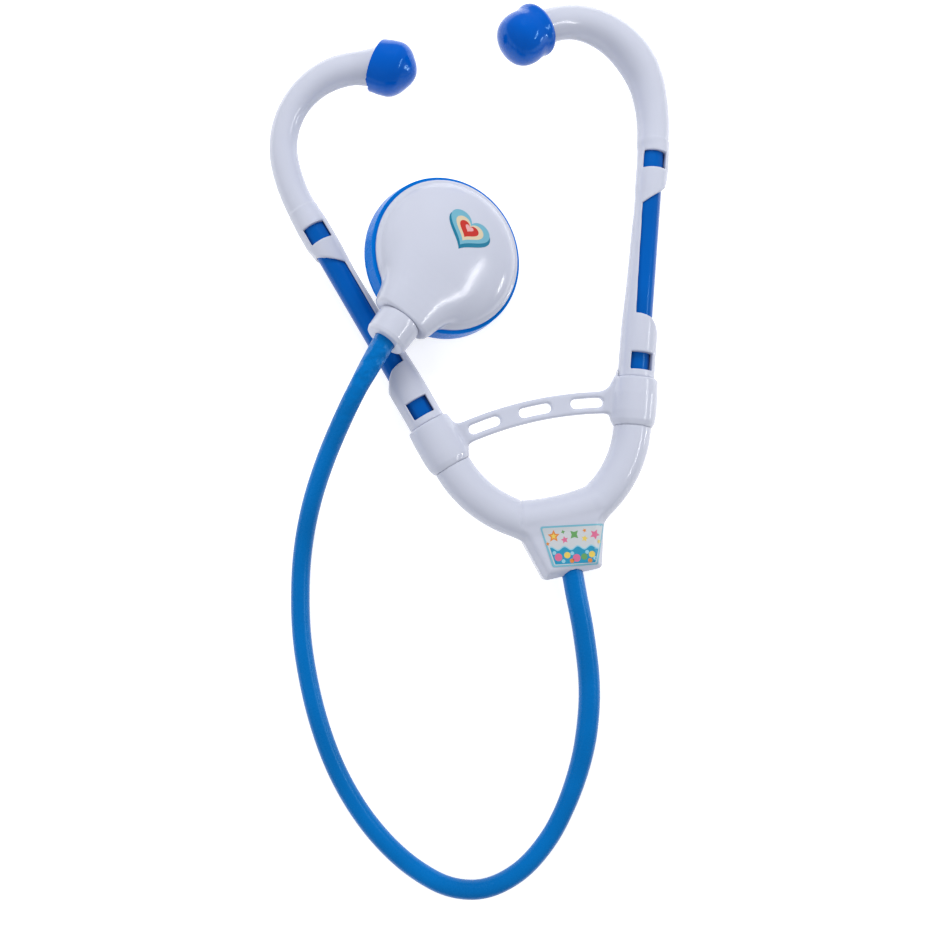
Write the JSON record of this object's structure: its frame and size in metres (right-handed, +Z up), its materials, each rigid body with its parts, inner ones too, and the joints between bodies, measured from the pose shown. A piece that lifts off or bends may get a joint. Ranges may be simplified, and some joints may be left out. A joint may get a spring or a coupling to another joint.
{
  "type": "toy stethoscope",
  "caption": "Toy stethoscope: white ear tubes that turn in the collars of a U-shaped yoke, a blue hose, and a round chest piece with a white dome over a blue cup",
  "frame": {"origin": "the middle of the flat back of the yoke's block, which lies on the surface", "axes": "+X to the right-hand ear tube, +Y along the headset towards the ear tips, +Z up, away from the surface"},
  "size_m": [0.1581, 0.271, 0.0293],
  "materials": {
    "white_plastic": "glossy moulded plastic, pale lavender white",
    "blue_plastic": "glossy moulded plastic, strong blue",
    "blue_soft": "smooth soft plastic, strong blue",
    "blue_hose": "smooth flexible hose, strong blue with a soft gloss",
    "diaphragm_film": "thin smooth plastic sheet, off-white",
    "heart_print": "printed sticker with one heart inside another",
    "label_print": "printed sticker with plain coloured shapes"
  },
  "bodies": {
    "headset": {"yoke_front": "white_plastic", "yoke_back": "white_plastic", "bridge": "white_plastic", "hose": "blue_hose", "neck_sleeve": "white_plastic", "yoke_label": "label_print"},
    "left_ear_tube": {"left_shell_front": "white_plastic", "left_shell_back": "white_plastic", "left_inner_tube": "blue_plastic", "left_ear_tip": "blue_soft"},
    "right_ear_tube": {"right_shell_front": "white_plastic", "right_shell_back": "white_plastic", "right_inner_tube": "blue_plastic", "right_ear_tip": "blue_soft"},
    "chest_piece": {"chest_cap": "white_plastic", "chest_cup": "blue_plastic", "diaphragm": "diaphragm_film", "heart_sticker": "heart_print"}
  },
  "joints": [
    {"name": "left_tube_turn", "type": "hinge", "parent": "headset", "child": "left_ear_tube", "pos_m": [-0.036, 0.0526, 0.0069], "axis": [0.304, -0.9527, 0], "range_deg": [-60, 90]},
    {"name": "right_tube_turn", "type": "hinge", "parent": "headset", "child": "right_ear_tube", "pos_m": [0.036, 0.0526, 0.0069], "axis": [0.304, 0.9527, 0], "range_deg": [-60, 90]},
    {"name": "chest_piece_turn", "type": "hinge", "parent": "headset", "child": "chest_piece", "pos_m": [-0.03615, 0.0791, 0.02106], "axis": [-0.7202, -0.6739, 0.1651], "range_deg": [-30, 30]}
  ]
}
